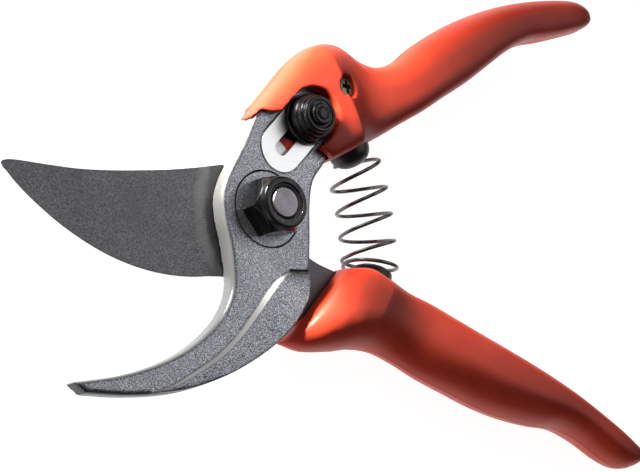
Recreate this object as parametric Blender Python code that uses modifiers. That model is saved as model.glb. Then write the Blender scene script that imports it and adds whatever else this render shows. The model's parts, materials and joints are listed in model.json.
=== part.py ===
"""Bypass pruner, open, lying on its back. Millimetres in the constants, metres in the scene.

Origin on the pivot axis at the bolt head's flat face, +Z from the head to the nut,
+X along the bisector of the open handles, +Y towards the hook's handle.
"""

import math

import bmesh
import bpy
from mathutils import Matrix, Vector

MM = 0.001
GAP = 0.3

# Levels through the tool, from the bolt head's face up
HEAD_T = 3.5
BLADE_Z = (4.9, 8.1)
HOLLOW_Z = 7.8
HOOK_Z = (8.4, 12.9)
RIB_H = 1.6
NUT_Z = (13.0, 21.0)
BOLT_END_Z = 20.7
FRONT_LAYER_Z = 13.2
GRIP_MID_Z = 8.5

# Pivot
BOLT_R = 4.0
BUSH_R = 5.5
BORE_R = 5.56
NUT_FLATS = 14.0
HEAD_FLATS = 13.0
COUNTERBORE_R = 9.9
CLOSE_DEG = 42.0

# Catch: the slot's lower end, its direction and the knob's place along it
SLOT_END = Vector((6.3, 16.0))
SLOT_DEG = 42.5
KNOB_T = 11.8
TRAVEL = 5.0
PLATE_R = 6.3
SLOT_R = 1.9
SLIDE_R = 3.5
STEM_R = 1.6
LOCK_PIN_R = 1.5

# Spring
WIRE_R = 0.5
COIL_R = 7.1

# Hook outline
HOOK_INNER = [(-0.8, 24.7), (-6, 16), (-11, 8.6), (-13.4, 3), (-13.5, -3), (-12.6, -9), (-12.3, -16),
              (-13.2, -21.5), (-16.5, -27), (-22, -32), (-29, -36.3), (-38, -39.8), (-48, -42.2),
              (-57.6, -43.4)]
HOOK_TIP = [(-60.5, -43.7), (-57.6, -46.4)]
HOOK_OUTER = [(-55, -46.6), (-47, -47), (-38, -46.8), (-30, -45.9), (-22, -43.9), (-14, -41.1),
              (-7, -37.6), (0, -33.4), (6, -28.2), (10, -22.2), (12, -14.5), (13.3, -6), (14.2, 1.5),
              (16, 8), (20.2, 13)]
HOOK_TANG = [(24.5, 18.6), (31, 22.4), (40, 26.6), (50, 31.8), (60, 37), (70, 43), (79, 49.5),
             (80, 52.5), (77, 53.3), (68, 49.5), (58, 44), (48, 39), (40, 37.2), (33, 38.2), (26, 38.6),
             (18, 36.2), (11, 31.6), (5.5, 28), (1.4, 26.6)]
RIB_WALL = [(4.6, -15.8), (2.2, -17.0), (-0.9, -19.3), (-5, -23.7), (-8.6, -27.6), (-13.6, -32.6),
            (-20, -37.6), (-26.8, -41.3), (-33.5, -44.5), (-39, -46.2)]
RIB_EDGE = [(11.6, -15.8), (11.2, -18), (10, -21.8), (7.6, -25.6), (4, -29.8), (-1.5, -34.1),
            (-9.5, -38.7), (-19, -42.8), (-30, -45.7), (-40, -46.6)]
RIB_RISE = [0.05, 0.5, 0.9, 1, 1, 1, 0.97, 0.85, 0.6, 0.15]

# Blade outline
BLADE_SPINE = [(-73, 8.7), (-72.2, 9.5), (-69, 9.8), (-60, 9.1), (-51.5, 8.6), (-43, 8.7), (-34, 9.2),
               (-25, 9.9), (-16, 11), (-9.2, 12)]
BLADE_TANG = [(11.2, -6.4), (14, -9.8), (18, -12.3), (23.5, -14.4), (29, -17.3), (36, -20.4), (46, -24.6),
              (57, -29.8), (67, -35), (73.5, -38.6), (75.3, -41.4), (73, -43.3), (64, -40.2),
              (53, -35.6), (42, -31.8), (32, -29.2), (22, -28.6), (12, -27.4), (4, -23.2), (-4, -18.6)]
BLADE_EDGE = [(-4, -18.6), (-8.5, -17.3), (-13.4, -16.6), (-20.9, -17), (-27, -16.8), (-33, -16),
              (-39.5, -14.4), (-46, -12), (-52, -9), (-58, -5.3), (-64, -0.7), (-69, 3.9)]
BEVEL_W = 4.6
TIP_CUT = 2.4
HOLLOW_LINE = [(-12, 15), (-14, 10), (-16, 5.3), (-17, 0.2), (-16.6, -5), (-15.4, -10.5), (-13.5, -16),
               (-11.5, -21)]
HEEL_R = 11.0
LUG_R = 15.0
LUG_DEG = (42.5, 64.0)

# Grips: outer point, inner point, top, bottom, for stations from the blades outwards
UPPER_GRIP = [
    ((-0.5, 24.8), (19, 13.4), 14.4, 0.8), ((6.7, 32.4), (22.5, 14.1), 16.0, 0.4),
    ((14, 40.3), (26.5, 15.7), 17.1, 0.2), ((21, 44.7), (31.5, 17.8), 17.7, 0.2),
    ((28.6, 45.8), (37.6, 20.4), 15.2, 0.7), ((35.5, 42.7), (43.2, 23), 14.5, 1.4),
    ((41.8, 41.2), (49.6, 26.3), 14.7, 1.6), ((49.2, 43), (56.1, 29.5), 15.3, 1.2),
    ((57, 48.3), (63.5, 33.7), 16.0, 0.6), ((66, 53.3), (72.5, 38.7), 16.4, 0.2),
    ((75.5, 57.7), (80.5, 43.8), 16.5, 0.0), ((84.7, 61.1), (88.5, 48.8), 16.2, 0.3),
    ((94, 63.8), (97, 52.7), 15.7, 0.9), ((103.6, 65.7), (106.5, 54.8), 15.2, 1.5),
    ((112.5, 66.8), (114.5, 56.9), 14.8, 2.0), ((118, 66.9), (120, 58.6), 14.2, 2.7),
    ((121.8, 65.5), (123, 60.4), 13.0, 4.0), ((123.6, 63.6), (123.8, 61.8), 11.0, 6.2)]
LOWER_GRIP = [
    ((4.8, -32.7), (24, -14), 14.0, 0.8), ((10.5, -35.2), (28.4, -13.8), 16.0, 0.5),
    ((18, -35.2), (32.4, -14.2), 17.0, 0.3), ((25.8, -34.5), (37.8, -16.9), 16.8, 0.3),
    ((33.4, -35.3), (44.4, -20), 15.4, 1.0), ((40.3, -38.2), (51.2, -22.5), 15.0, 1.5),
    ((48.3, -42.3), (57.6, -25.7), 15.6, 1.1), ((57.4, -46.1), (65, -29.4), 16.2, 0.5),
    ((66.7, -49.9), (72.8, -33.1), 16.5, 0.1), ((76, -52.8), (81.3, -37.1), 16.5, 0.0),
    ((85.6, -54.8), (90.2, -41.5), 16.2, 0.3), ((94.5, -56), (99.1, -46.3), 15.6, 0.9),
    ((102.7, -59.6), (107.3, -51.2), 15.0, 1.5), ((110, -64.3), (115.2, -56.3), 14.6, 2.0),
    ((115.8, -66.8), (120.6, -60.3), 14.0, 2.7), ((120.4, -66.7), (123.4, -62.4), 13.0, 3.8),
    ((123, -65.4), (124, -63.9), 11.0, 6.0)]
CATCH_RECESS = [(-3, 25.8), (0, 25.2), (3, 24.6), (5.8, 25.2), (8.6, 28), (12, 30.9), (15.6, 32),
                (19.5, 31.2), (22.3, 28.6), (23.1, 25), (22, 21.3), (19.6, 18.4), (17.7, 16.9),
                (17.8, 16.1), (20, 14.9), (22.4, 13.4), (26, 10), (20, 2), (-12, 2), (-12, 26)]

BACK_STEP = [(-12, 35), (1.5, 27.3), (11.5, 21.5), (21, 16), (24, 0), (-12, 0)]

# Rubber buffers: centre on the grip's inner face, the way they point, how far they stand out
UPPER_BUFFER = ((31.8, 17.9), (0.43, -0.903), 4.4)
LOWER_BUFFER = ((35.0, -14.9), (0.30, 0.954), 2.2)
BUFFER_R = 5.5

# Screws: a point on the axis at the head's top, the way the head faces, length
UPPER_SCREW = ((27.1, 33, 16.2), (0.27, 0.15, 0.951), 12.0)
LOWER_SCREW = ((47, -31.5, 1.3), (0, 0, -1), 11.5)
SCREW_HEAD_R = 2.9
SCREW_R = 1.4

# Spring axis from the upper grip to the lower one: x, y and the coil's tilt, by turns
SPRING_AXIS = [(-0.25, 32.2, 15.3, 20), (0.0, 32.6, 13.8, 19), (0.5, 33.6, 10.4, 15), (1.5, 34.6, 3.8, 13),
               (2.5, 35.0, -3.0, 9), (3.5, 34.9, -9.8, 4), (4.0, 34.8, -12.6, -8), (4.5, 34.9, -13.6, -17),
               (4.9, 34.9, -13.9, -18)]

COLOURS = {
    "alloy": ((0.48, 0.49, 0.52), 0.9, 0.45), "steel": ((0.32, 0.32, 0.33), 1.0, 0.35),
    "bright": ((0.75, 0.75, 0.74), 1.0, 0.3), "black": ((0.02, 0.02, 0.02), 0.6, 0.35),
    "rubber": ((0.015, 0.015, 0.018), 0.0, 0.7), "nylon": ((0.02, 0.02, 0.02), 0.0, 0.5),
    "grip": ((0.72, 0.09, 0.04), 0.0, 0.4), "bronze": ((0.45, 0.35, 0.2), 1.0, 0.4)}


def clear_scene():
    for obj in list(bpy.data.objects):
        bpy.data.objects.remove(obj, do_unlink=True)


def new_collection(name, hidden=False):
    made = bpy.data.collections.new(name)
    bpy.context.scene.collection.children.link(made)
    made.hide_render = hidden
    return made


def slot_point(t):
    a = math.radians(SLOT_DEG)
    return SLOT_END + t * Vector((math.cos(a), math.sin(a)))


def smooth(points, steps=2):
    """A Catmull-Rom curve through open control points of any dimension."""
    pts = [Vector(p) for p in points]
    pts = [2 * pts[0] - pts[1]] + pts + [2 * pts[-1] - pts[-2]]
    out = []
    for a, b, c, d in zip(pts, pts[1:], pts[2:], pts[3:]):
        for k in range(steps):
            t = k / steps
            out.append(0.5 * (2 * b + (c - a) * t + (2 * a - 5 * b + 4 * c - d) * t ** 2
                              + (3 * b - a - 3 * c + d) * t ** 3))
    return out + [pts[-2]]


def grown(outline, by):
    """The closed outline moved outwards by a distance."""
    area = sum(a.x * b.y - b.x * a.y for a, b in zip(outline, outline[1:] + outline[:1]))
    side = 1 if area > 0 else -1
    out = []
    for before, here, after in zip(outline[-1:] + outline[:-1], outline, outline[1:] + outline[:1]):
        one = (here - before).normalized()
        two = (after - here).normalized()
        normal = Vector((one.y + two.y, -one.x - two.x)).normalized() * side
        out.append(here + normal * by / max(0.5, normal.dot(Vector((one.y, -one.x)) * side)))
    return out


def circle(centre, radius, count, first=0.0):
    step = 2 * math.pi / count
    return [Vector((centre[0] + radius * math.cos(k * step + first),
                    centre[1] + radius * math.sin(k * step + first))) for k in range(count)]


def stadium(start, end, radius, count=12):
    run = math.atan2(end.y - start.y, end.x - start.x)
    out = []
    for centre, turn in ((end, run - math.pi / 2), (start, run + math.pi / 2)):
        out += [centre + radius * Vector((math.cos(turn + math.pi * k / count),
                                          math.sin(turn + math.pi * k / count)))
                for k in range(count + 1)]
    return out


def plain_mesh(name, source, where):
    """The evaluated object as a welded mesh of its own; the source is removed."""
    graph = bpy.context.evaluated_depsgraph_get()
    mesh = bpy.data.meshes.new_from_object(source.evaluated_get(graph))
    mesh.transform(source.matrix_world)
    bpy.data.objects.remove(source)
    bm = bmesh.new()
    bm.from_mesh(mesh)
    bmesh.ops.remove_doubles(bm, verts=bm.verts, dist=1e-7)
    for end in [v for v in bm.verts if v.co.xy.length < 1e-7 and len(v.link_edges) > 8]:
        bmesh.ops.dissolve_verts(bm, verts=[end])
    bmesh.ops.recalc_face_normals(bm, faces=bm.faces)
    bm.to_mesh(mesh)
    bm.free()
    obj = bpy.data.objects.new(name, mesh)
    where.objects.link(obj)
    if where is CUTTERS:
        obj.display_type = "WIRE"
    return obj


def prism(name, outline, low, high, where):
    """A flat outline with thickness, from a filled 2D curve."""
    curve = bpy.data.curves.new(name, "CURVE")
    curve.dimensions, curve.fill_mode = "2D", "BOTH"
    curve.extrude = (high - low) / 2 * MM
    line = curve.splines.new("POLY")
    line.points.add(len(outline) - 1)
    line.use_cyclic_u = True
    for point, place in zip(line.points, outline):
        point.co = (place[0] * MM, place[1] * MM, 0, 1)
    flat = bpy.data.objects.new(name + "_outline", curve)
    flat.location.z = (low + high) / 2 * MM
    where.objects.link(flat)
    bpy.context.view_layer.update()
    return plain_mesh(name, flat, where)


def turned(name, profile, count, where, at=(0, 0, 0), along=(0, 0, 1)):
    """A closed profile of (radius, height) turned by a Screw modifier, then placed on its axis."""
    mesh = bpy.data.meshes.new(name)
    edges = [(k, (k + 1) % len(profile)) for k in range(len(profile))]
    edges = [(a, b) for a, b in edges if profile[a][0] > 0 or profile[b][0] > 0]
    mesh.from_pydata([(r * MM, 0, z * MM) for r, z in reversed(profile)],
                     [(len(profile) - 1 - a, len(profile) - 1 - b) for a, b in edges], [])
    lathe = bpy.data.objects.new(name + "_profile", mesh)
    where.objects.link(lathe)
    turn = lathe.modifiers.new("turn", "SCREW")
    turn.steps = turn.render_steps = count
    turn.use_merge_vertices, turn.merge_threshold = True, 1e-7
    obj = plain_mesh(name, lathe, where)
    facing = Vector((0, 0, 1)).rotation_difference(Vector(along)).to_matrix().to_4x4()
    obj.data.transform(Matrix.Translation(Vector(at) * MM) @ facing)
    return obj


def stack(name, rings, where):
    """A loft through closed sections that have the same number of points."""
    n = len(rings[0])
    points = [p for section_points in rings for p in section_points]
    faces = [list(range(n)), [len(points) - n + k for k in range(n)]]
    for level in range(len(rings) - 1):
        for k in range(n):
            a, b = level * n + k, level * n + (k + 1) % n
            faces.append([a, b, b + n, a + n])
    mesh = bpy.data.meshes.new(name)
    mesh.from_pydata([Vector(p) * MM for p in points], [], faces)
    loft = bpy.data.objects.new(name + "_loft", mesh)
    where.objects.link(loft)
    return plain_mesh(name, loft, where)


def ring(name, outer, inner, low, high, count, where, at=(0, 0, 0)):
    return turned(name, [(inner, low), (outer, low), (outer, high), (inner, high)], count, where, at)


def rod(name, radius, low, high, count, where, at=(0, 0, 0), along=(0, 0, 1)):
    return turned(name, [(0, low), (radius, low), (radius, high), (0, high)], count, where, at, along)


def combine(target, tool, how="DIFFERENCE"):
    """A Boolean, made final at once so that the next one starts from a plain mesh."""
    step = target.modifiers.new(tool.name, "BOOLEAN")
    step.operation, step.object, step.solver = how, tool, "EXACT"
    graph = bpy.context.evaluated_depsgraph_get()
    mesh = bpy.data.meshes.new_from_object(target.evaluated_get(graph))
    target.modifiers.clear()
    target.data = mesh


def new_carrier(name, at):
    """An empty on a joint's axis, for the pieces that move with it."""
    made = bpy.data.objects.new(name, None)
    made.location = Vector(at) * MM
    PARTS.objects.link(made)
    bpy.context.view_layer.update()
    return made


def finish(obj, kind, carrier=None):
    """The node's material and shading, its slivers welded, and its place under a moving carrier."""
    bm = bmesh.new()
    bm.from_mesh(obj.data)
    bmesh.ops.remove_doubles(bm, verts=bm.verts, dist=2e-6)
    bm.to_mesh(obj.data)
    bm.free()
    obj.data.shade_smooth()
    obj.data.set_sharp_from_angle(angle=math.radians(35))
    if carrier:
        obj.parent = carrier
        obj.matrix_parent_inverse = carrier.matrix_world.inverted()
    colour, metal, rough = COLOURS[kind]
    made = bpy.data.materials.new(obj.name)
    made.use_nodes = True
    shader = made.node_tree.nodes["Principled BSDF"]
    shader.inputs["Base Color"].default_value = (*colour, 1)
    shader.inputs["Metallic"].default_value = metal
    shader.inputs["Roughness"].default_value = rough
    obj.data.materials.clear()
    obj.data.materials.append(made)
    return obj


def hook_outline():
    return smooth(HOOK_INNER)[:-1] + [Vector(HOOK_INNER[-1])] + [Vector(p) for p in HOOK_TIP] + \
        smooth(HOOK_OUTER)[:-1] + smooth([HOOK_OUTER[-1]] + HOOK_TANG, 2)


def rib():
    """The raised band on the hook's front, with a sloping wall on its inner side."""
    walls, edges = smooth(RIB_WALL, 2), smooth(RIB_EDGE, 2)
    rise = [v.x for v in smooth([(r, 0) for r in RIB_RISE], 2)]
    rings = []
    for wall, edge, up in zip(walls, edges, rise):
        across = (edge - wall).normalized()
        top = HOOK_Z[1] + RIB_H * up
        low = HOOK_Z[1] - 1
        slope = wall + across * min(0.9, 0.2 * (edge - wall).length)
        rings.append([(wall.x, wall.y, low), (edge.x, edge.y, low), (edge.x, edge.y, top - 0.3 * up),
                      (slope.x, slope.y, top), (wall.x, wall.y, HOOK_Z[1] + 0.01)])
    return stack("rib", rings, CUTTERS)


def counter_blade():
    obj = prism("counter_blade", hook_outline(), *HOOK_Z, PARTS)
    combine(obj, rib(), "UNION")
    combine(obj, rod("counterbore", COUNTERBORE_R, 12.2, 20, 40, CUTTERS))
    combine(obj, rod("hook_bore", BORE_R, 0, 20, 40, CUTTERS))
    combine(obj, prism("plate_seat", stadium(slot_point(0), slot_point(KNOB_T), PLATE_R + 0.15),
                       11.6, 14, CUTTERS))
    combine(obj, prism("slide_pocket", stadium(slot_point(2.2 - TRAVEL), slot_point(13), SLIDE_R + GAP),
                       9.5, 12, CUTTERS))
    combine(obj, prism("pin_slot", stadium(slot_point(1 - TRAVEL), slot_point(1), LOCK_PIN_R + GAP, 8),
                       8, 10, CUTTERS))
    combine(obj, screw_hole("tang_hole", UPPER_SCREW, SCREW_R + 0.25))
    return finish(obj, "alloy")


def screw_hole(name, screw, radius):
    at, along, length = screw
    return rod(name, radius, -length - 1, 3, 20, CUTTERS, at, along)


def blade_rings():
    spine = smooth(BLADE_SPINE)[:-1] + [Vector(BLADE_SPINE[-1])]
    heel = []
    for deg in range(110, -25, -9):
        radius = LUG_R if LUG_DEG[0] <= deg <= LUG_DEG[1] else HEEL_R
        heel.append((deg, radius))
    low, high = LUG_DEG
    heel = [h for h in heel if h[1] == HEEL_R] + [(high + 1.5, HEEL_R), (high, LUG_R), (53, LUG_R),
                                                  (low, LUG_R), (low - 0.5, HEEL_R)]
    heel = sorted(heel, key=lambda h: -h[0])
    heel = [Vector((r * math.cos(math.radians(d)), r * math.sin(math.radians(d)))) for d, r in heel]
    plain = spine + heel + smooth(BLADE_TANG)[:-1]
    edge = smooth(BLADE_EDGE + [BLADE_SPINE[0]])[:-1]
    top = plain + edge
    inner = grown(top, -1)
    back = list(top)
    for k in range(len(edge)):
        i = len(plain) + k
        u = k / (len(edge) - 1)
        width = BEVEL_W * min(1, u * 6.5, (1 - u) * 5 + 0.3)
        back[i] = top[i] + (inner[i] - top[i]).normalized() * width
    for i, part in enumerate((1, 0.85, 0.65, 0.35)):
        back[i] = top[i] + TIP_CUT * part * Vector((1, -0.08))
    return top, back


def cutting_blade():
    top, back = blade_rings()
    low, high = BLADE_Z
    rings = [[(p.x, p.y, low) for p in back], [(p.x, p.y, high - 0.5) for p in top],
             [(p.x, p.y, high) for p in top]]
    obj = stack("cutting_blade", rings, PARTS)
    hollow = smooth(HOLLOW_LINE, 2) + [Vector((-90, -30)), Vector((-90, 20))]
    combine(obj, prism("hollow", hollow, HOLLOW_Z, 9, CUTTERS))
    combine(obj, rod("blade_bore", BORE_R, 0, 20, 40, CUTTERS))
    combine(obj, screw_hole("blade_hole", LOWER_SCREW, SCREW_R + 0.25))
    return finish(obj, "steel", HINGE)


def pivot():
    corner = 0.5 / math.cos(math.pi / 6)
    bolt = prism("pivot_bolt", circle((0, 0), HEAD_FLATS * corner, 6), 0, HEAD_T, PARTS)
    trim = turned("head_trim", [(0, -1), (6.4, -1), (6.4, 0), (7.7, 0.9), (7.7, 6), (0, 6)], 36, CUTTERS)
    combine(bolt, trim, "INTERSECT")
    shank = turned("shank", [(0, 1), (BOLT_R, 1), (BOLT_R, BOLT_END_Z - 0.5), (BOLT_R - 0.5, BOLT_END_Z),
                             (0, BOLT_END_Z)], 40, CUTTERS)
    combine(bolt, shank, "UNION")
    finish(bolt, "steel")
    low, high = NUT_Z
    nut = prism("pivot_nut", circle((0, 0), NUT_FLATS * corner, 6, math.radians(4)), low, high, PARTS)
    crown = turned("crown", [(0, low - 1), (7.5, low - 1), (7.5, low), (8.2, low + 0.5), (8.2, high - 2.8),
                             (6.7, high - 1.9), (6.7, high - 1.0), (6.3, high - 0.3), (5.8, high),
                             (0, high)], 40, CUTTERS)
    combine(nut, crown, "INTERSECT")
    combine(nut, turned("nut_bore", [(0, 0), (BOLT_R + 0.1, 0), (BOLT_R + 0.1, high - 2),
                                     (5.2, high - 2), (5.2, high - 0.5), (4.7, high + 1),
                                     (0, high + 1)], 40, CUTTERS))
    finish(nut, "black")
    finish(ring("nut_insert_ring", 5.0, BOLT_R + 0.1, high - 1.85, high - 0.55, 32, PARTS), "nylon")
    finish(ring("pivot_washer_front", COUNTERBORE_R - 0.2, BOLT_R + 0.1, 12.35, 12.85, 40, PARTS), "steel")
    finish(ring("pivot_thrust_washer", 7.4, BOLT_R + 0.1, 3.75, 4.65, 32, PARTS), "bronze")
    finish(ring("pivot_bushing", BUSH_R, BOLT_R + 0.06, 4.8, 12.2, 40, PARTS), "bronze")


def catch():
    knob = slot_point(KNOB_T)
    at = (knob.x, knob.y, 0)
    plate = prism("catch_plate", stadium(slot_point(0), slot_point(KNOB_T), PLATE_R), 11.75, HOOK_Z[1],
                  PARTS)
    combine(plate, prism("plate_slot", stadium(slot_point(0), slot_point(KNOB_T + 0.2), SLOT_R),
                         10, 14, CUTTERS))
    finish(plate, "bright")
    slide = prism("catch_slide", stadium(slot_point(2.2), slot_point(13), SLIDE_R), 9.75, 11.45, PARTS)
    pin = slot_point(1)
    combine(slide, rod("lock_pin", LOCK_PIN_R, 5.4, 10.5, 20, CUTTERS, (pin.x, pin.y, 0)), "UNION")
    combine(slide, rod("slide_hole", STEM_R + 0.1, 5, 14, 20, CUTTERS, at))
    finish(slide, "bright", SLIDER)
    stem = turned("catch_stem", [(0, 9.75), (STEM_R, 9.75), (STEM_R, 19.7), (3, 19.7), (2.9, 20.0),
                                 (2.2, 20.35), (1.2, 20.55), (0, 20.6)], 24, PARTS, at)
    finish(stem, "black", SLIDER)
    hole = STEM_R + 0.1
    finish(ring("catch_base_washer", 6.7, hole, 13.15, 14.1, 32, PARTS, at), "black", SLIDER)
    finish(ring("catch_spring_washer", 4.8, hole, 14.25, 14.65, 24, PARTS, at), "steel", SLIDER)
    body = [(hole, 14.8), (5.4, 14.8), (6.2, 15.4), (6.25, 16.9), (5.7, 17.3), (5.5, 18.3), (4.8, 18.7),
            (4.6, 19.3), (4.2, 19.55), (hole, 19.55)]
    finish(turned("catch_knob", body, 32, PARTS, at), "black", SLIDER)


def section(station, powers, count):
    """One closed ring of a grip: rounded on the outside, flatter on the inner face.

    Powers of the rounding: outside in front, outside at the back, inside.
    """
    outer, inner, top, low = Vector(station[:2]), Vector(station[2:4]), station[4], station[5]
    middle, half = (outer + inner) / 2, (outer - inner) / 2
    z_mid, z_half = (top + low) / 2, (top - low) / 2
    ring_points = []
    for k in range(count):
        a = 2 * math.pi * (k + 0.5) / count
        power = powers[2] if math.cos(a) < 0 else powers[0] if math.sin(a) > 0 else powers[1]
        u = math.copysign(abs(math.cos(a)) ** (2 / power), math.cos(a))
        v = math.copysign(abs(math.sin(a)) ** (2 / power), math.sin(a))
        ring_points.append((*(middle + half * u), z_mid + z_half * v))
    return ring_points


def grip(name, stations, square, count=18):
    """A grip lofted through its stations, squarer near the blades."""
    flat = [(*o, *i, top, low) for o, i, top, low in stations]
    rings = []
    for index, station in enumerate(flat):
        block = max(0.0, 1 - index / 5)
        rings.append(section(station, (2.3 + square * block, 2.3 + 0.3 * block, 3.6 + 1.6 * block), count))
    return stack(name, rings, PARTS)


def buffer(name, where_on, grip_obj, carrier=None):
    """A rubber dome with a stud in the grip."""
    (x, y), (ax, ay), tall = where_on
    at, along = (x, y, GRIP_MID_Z), (ax, ay, 0)
    profile = [(0, -3), (2.2, -3), (2.2, -1.6), (BUFFER_R, -1.6), (BUFFER_R, 0.2)]
    profile += [(BUFFER_R * math.cos(a), 0.2 + (tall - 0.2) * math.sin(a))
                for a in (math.radians(d) for d in (20, 40, 58, 75))]
    dome = turned(name, profile + [(0, tall)], 24, PARTS, at, along)
    finish(dome, "rubber", carrier)
    hole = turned(name + "_seat", [(0, -3.3), (2.4, -3.3), (2.4, -1.9), (BUFFER_R + 0.25, -1.9),
                                   (BUFFER_R + 0.25, 8), (0, 8)], 24, CUTTERS, at, along)
    combine(grip_obj, hole)


def screw(name, placed, grip_obj, carrier=None):
    """A cross-recess screw, with its seat and hole in the grip."""
    at, along, length = placed
    head = turned(name, [(0, -length), (SCREW_R * 0.5, -length), (SCREW_R, -length + 1.5), (SCREW_R, -1.6),
                         (SCREW_HEAD_R, -1.4), (SCREW_HEAD_R, -0.2), (SCREW_HEAD_R - 0.4, 0), (0, 0)],
                  28, PARTS, at, along)
    turn = Vector((0, 0, 1)).rotation_difference(Vector(along)).to_matrix().to_4x4()
    for across in (0, 1):
        long, wide = (1.7, 0.35) if across else (0.35, 1.7)
        slot = prism(name + f"_cross{across}", [Vector(p) for p in ((long, wide), (-long, wide),
                                                (-long, -wide), (long, -wide))], -1.0, 1.0, CUTTERS)
        slot.data.transform(Matrix.Translation(Vector(at) * MM) @ turn)
        combine(head, slot)
    finish(head, "steel", carrier)
    combine(grip_obj, turned(name + "_seat", [(0, -length - 0.4), (SCREW_R + 0.12, -length - 0.4),
                                              (SCREW_R + 0.12, -1.9), (SCREW_HEAD_R + 0.3, -1.9),
                                              (SCREW_HEAD_R + 0.3, 5), (0, 5)], 24, CUTTERS, at, along))


def upper_handle():
    obj = grip("upper_handle", UPPER_GRIP, 3.2)
    recess = smooth(CATCH_RECESS[:15]) + [Vector(p) for p in CATCH_RECESS[15:]]
    combine(obj, prism("catch_recess", recess, HOOK_Z[1] - 0.4, 30, CUTTERS))
    combine(obj, prism("tang_pocket", grown(hook_outline(), GAP), HOOK_Z[0] - GAP, FRONT_LAYER_Z, CUTTERS))
    back = [Vector(p) for p in BACK_STEP]
    combine(obj, prism("back_step", back, -5, HOOK_Z[0] - GAP, CUTTERS))
    screw("upper_handle_screw", UPPER_SCREW, obj)
    buffer("upper_bumper", UPPER_BUFFER, obj)
    finish(obj, "grip")


def lower_handle():
    obj = grip("lower_handle", LOWER_GRIP, 1.0)
    tang = grown(blade_rings()[0], GAP)
    combine(obj, prism("blade_pocket", tang, BLADE_Z[0] - GAP, BLADE_Z[1] + GAP, CUTTERS))
    screw("lower_handle_screw", LOWER_SCREW, obj, HINGE)
    buffer("lower_bumper", LOWER_BUFFER, obj, HINGE)
    finish(obj, "grip", HINGE)


def handle_spring(per_turn=14):
    """A wire swept along a coil whose axis and tilt change between the two grips."""
    axis = [Vector(p).to_4d() if len(p) == 3 else Vector(p) for p in SPRING_AXIS]
    first, last = axis[0][0], axis[-1][0]
    curve = bpy.data.curves.new("handle_spring", "CURVE")
    curve.dimensions, curve.fill_mode = "3D", "FULL"
    curve.bevel_depth, curve.bevel_resolution, curve.use_fill_caps = WIRE_R * MM, 2, True
    count = int((last - first) * per_turn) + 1
    line = curve.splines.new("POLY")
    line.points.add(count - 1)
    for k in range(count):
        turns = first + (last - first) * k / (count - 1)
        i = max(j for j in range(len(axis) - 1) if axis[j][0] <= turns + 1e-9)
        u = (turns - axis[i][0]) / (axis[i + 1][0] - axis[i][0])
        _, x, y, tilt = axis[i].lerp(axis[i + 1], u)
        phase, tilt = 2 * math.pi * turns, math.radians(tilt)
        point = Vector((x + COIL_R * math.cos(phase) * math.cos(tilt),
                        y + COIL_R * math.cos(phase) * math.sin(tilt),
                        GRIP_MID_Z + COIL_R * math.sin(phase)))
        line.points[k].co = (*(point * MM), 1)
    wire = bpy.data.objects.new("spring_line", curve)
    PARTS.objects.link(wire)
    finish(plain_mesh("handle_spring", wire, PARTS), "steel")


clear_scene()
PARTS = new_collection("bypass_pruner")
CUTTERS = new_collection("cutters", hidden=True)
HINGE = new_carrier("blade_side_hinge", (0, 0, 6.5))
SLIDER = new_carrier("catch_carrier", (*slot_point(KNOB_T), 9.75))
counter_blade()
cutting_blade()
pivot()
catch()
upper_handle()
lower_handle()
handle_spring()
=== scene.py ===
import json
import math

import bmesh
import bpy
from mathutils import Matrix, Vector

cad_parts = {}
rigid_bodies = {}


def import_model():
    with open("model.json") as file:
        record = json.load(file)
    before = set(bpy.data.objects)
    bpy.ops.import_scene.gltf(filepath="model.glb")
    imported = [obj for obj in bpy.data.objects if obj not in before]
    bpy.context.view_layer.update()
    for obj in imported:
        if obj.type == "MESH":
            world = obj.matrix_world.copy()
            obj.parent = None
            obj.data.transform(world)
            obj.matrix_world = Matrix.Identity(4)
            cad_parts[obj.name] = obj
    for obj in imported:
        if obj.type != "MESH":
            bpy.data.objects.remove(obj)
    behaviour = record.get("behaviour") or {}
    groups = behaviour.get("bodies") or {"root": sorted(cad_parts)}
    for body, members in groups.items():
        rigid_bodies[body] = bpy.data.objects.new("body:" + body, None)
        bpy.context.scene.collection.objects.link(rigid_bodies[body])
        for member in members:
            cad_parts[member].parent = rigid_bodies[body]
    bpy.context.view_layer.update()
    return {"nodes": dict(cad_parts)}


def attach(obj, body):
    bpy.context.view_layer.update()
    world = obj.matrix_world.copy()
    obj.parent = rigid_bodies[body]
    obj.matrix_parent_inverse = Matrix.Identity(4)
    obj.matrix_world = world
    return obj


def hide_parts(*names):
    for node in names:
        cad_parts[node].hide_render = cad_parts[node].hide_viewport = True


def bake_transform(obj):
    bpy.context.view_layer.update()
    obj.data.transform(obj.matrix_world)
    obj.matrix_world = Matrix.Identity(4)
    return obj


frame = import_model()

# Lengths are millimetres in the CAD's frame. They repeat the solids' own outlines and levels, except for the
# first stations of both grips, the start of the catch's recess, the rib's two ends and the depth of the
# blade's hollow, which are refined here.
MM = 0.001
GAP = 0.3
POCKET_GAP = 0.2
TIGHT = 0.1
RIM = 0.12
FINE = 6
FAN_EDGES = 8
VOXEL = 0.36
METAL_VOXEL = 0.3

# Levels along Z, each as low and high or as one height
HEAD_Z = (0, 3.5)
BLADE_Z = (4.9, 8.1)
HOLLOW_Z = 7.6
HOOK_Z = (8.4, 12.9)
RIB_H = 1.6
RIB_GROOVE_H = 1.3
WASHER_Z = (12.35, 12.85)
COUNTERBORE_Z = 12.2
NUT_Z = (13.0, 21.0)
BOLT_END_Z = 20.7
PLATE_SEAT_Z = 11.6
PLATE_Z = (11.75, HOOK_Z[1] + 0.02)
SLIDE_Z = (9.75, 11.45)
SLIDE_POCKET_Z = (9.5, 12)
PIN_SLOT_Z = (8, 10)
KNOB_BASE_Z = (13.15, 14.1)
POCKET_TOP_Z = 13.05
GRIP_MID_Z = 8.5
BELOW, ABOVE = -5, 30

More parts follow.
